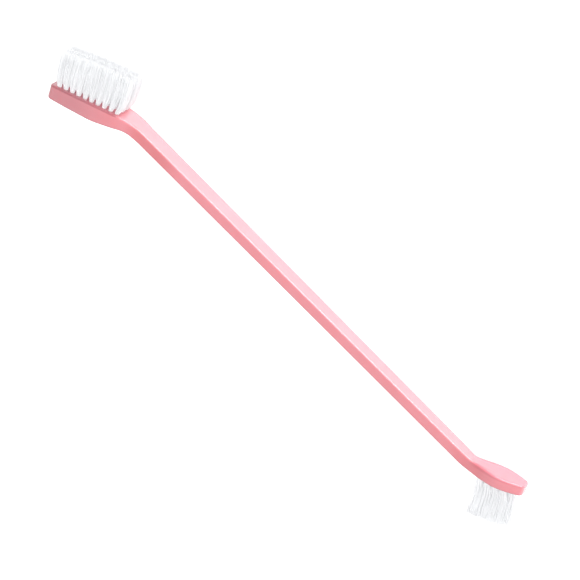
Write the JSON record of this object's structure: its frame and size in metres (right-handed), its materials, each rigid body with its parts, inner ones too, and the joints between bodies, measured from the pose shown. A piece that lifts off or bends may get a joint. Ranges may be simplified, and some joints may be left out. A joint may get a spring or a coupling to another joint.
{
  "type": "pet toothbrush",
  "caption": "Double-ended pet toothbrush: slim square handle with a long bristled head at one end and a small bristled head facing the other way at the other end.",
  "frame": {"origin": "bottom centre of the brush's box, lying on its side: under the middle of the handle's length", "axes": "+X runs along the handle towards the large head, +Z is the width of the heads, upwards as the brush lies on its side, and the large head's bristles point towards -Y, the small head's towards +Y"},
  "size_m": [0.2278, 0.029, 0.0114],
  "materials": {
    "pink_plastic": "satin-gloss injection-moulded pink polypropylene",
    "bristle_nylon": "translucent white nylon filament with rounded tips",
    "anchor_metal": "flat nickel-silver anchor strip, cut edges"
  },
  "bodies": {
    "root": {"handle": "pink_plastic", "large_head_anchors": "anchor_metal", "large_tuft_row1_01": "bristle_nylon", "large_tuft_row1_02": "bristle_nylon", "large_tuft_row1_03": "bristle_nylon", "large_tuft_row1_04": "bristle_nylon", "large_tuft_row1_05": "bristle_nylon", "large_tuft_row1_06": "bristle_nylon", "large_tuft_row1_07": "bristle_nylon", "large_tuft_row1_08": "bristle_nylon", "large_tuft_row1_09": "bristle_nylon", "large_tuft_row1_10": "bristle_nylon", "large_tuft_row2_01": "bristle_nylon", "large_tuft_row2_02": "bristle_nylon", "large_tuft_row2_03": "bristle_nylon", "large_tuft_row2_04": "bristle_nylon", "large_tuft_row2_05": "bristle_nylon", "large_tuft_row2_06": "bristle_nylon", "large_tuft_row2_07": "bristle_nylon", "large_tuft_row2_08": "bristle_nylon", "large_tuft_row2_09": "bristle_nylon", "large_tuft_row2_10": "bristle_nylon", "large_tuft_row3_01": "bristle_nylon", "large_tuft_row3_02": "bristle_nylon", "large_tuft_row3_03": "bristle_nylon", "large_tuft_row3_04": "bristle_nylon", "large_tuft_row3_05": "bristle_nylon", "large_tuft_row3_06": "bristle_nylon", "large_tuft_row3_07": "bristle_nylon", "large_tuft_row3_08": "bristle_nylon", "large_tuft_row3_09": "bristle_nylon", "large_tuft_row3_10": "bristle_nylon", "small_head_anchors": "anchor_metal", "small_tuft_row1_01": "bristle_nylon", "small_tuft_row1_02": "bristle_nylon", "small_tuft_row1_03": "bristle_nylon", "small_tuft_row1_04": "bristle_nylon", "small_tuft_row2_01": "bristle_nylon", "small_tuft_row2_02": "bristle_nylon", "small_tuft_row2_03": "bristle_nylon", "small_tuft_row2_04": "bristle_nylon", "small_tuft_row2_05": "bristle_nylon", "small_tuft_row3_01": "bristle_nylon", "small_tuft_row3_02": "bristle_nylon", "small_tuft_row3_03": "bristle_nylon", "small_tuft_row3_04": "bristle_nylon"}
  },
  "joints": []
}
